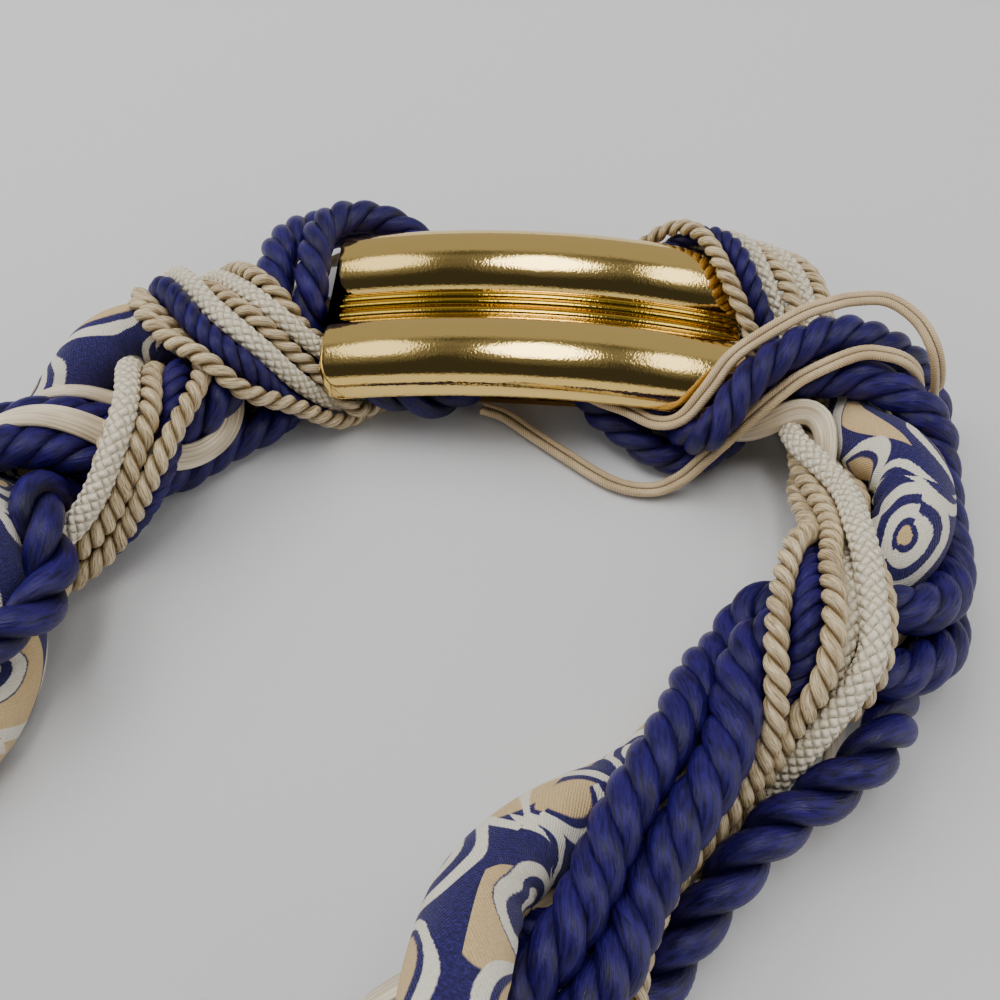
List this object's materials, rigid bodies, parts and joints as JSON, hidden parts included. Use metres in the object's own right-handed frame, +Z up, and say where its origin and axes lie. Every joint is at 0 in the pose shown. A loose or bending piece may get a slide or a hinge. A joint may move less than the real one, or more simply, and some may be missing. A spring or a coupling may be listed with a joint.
{
  "type": "braided belt",
  "caption": "Closed belt of twisted ropes, braided cords and a stuffed print tube plaited together, joined by a bowed two-bar metal buckle.",
  "frame": {"origin": "under the middle of the closed belt's box, on the surface it lies on", "axes": "+X along the buckle, +Y from the belt's far side towards the buckle, +Z up"},
  "size_m": [0.291, 0.3174, 0.0407],
  "materials": {
    "navy_cord": "satin viscose twist",
    "beige_cord": "satin viscose twist",
    "cream_cord": "glossy braided viscose",
    "satin": "satin",
    "print_cloth": "matt woven print",
    "soutache": "glossy flat braid",
    "gold_metal": "polished gold plate"
  },
  "bodies": {
    "root": {"navy_rope_a": "navy_cord", "navy_rope_b": "navy_cord", "stout_navy_rope": "navy_cord", "thin_navy_rope": "navy_cord", "beige_twist_a": "beige_cord", "beige_twist_b": "beige_cord", "beige_twist_c": "beige_cord", "cream_braid_a": "cream_cord", "cream_braid_b": "cream_cord", "satin_ribbon_a": "satin", "satin_ribbon_b": "satin", "print_tube": "print_cloth", "soutache_a": "soutache", "soutache_b": "soutache", "buckle": "gold_metal", "clasp": "gold_metal"}
  },
  "joints": []
}
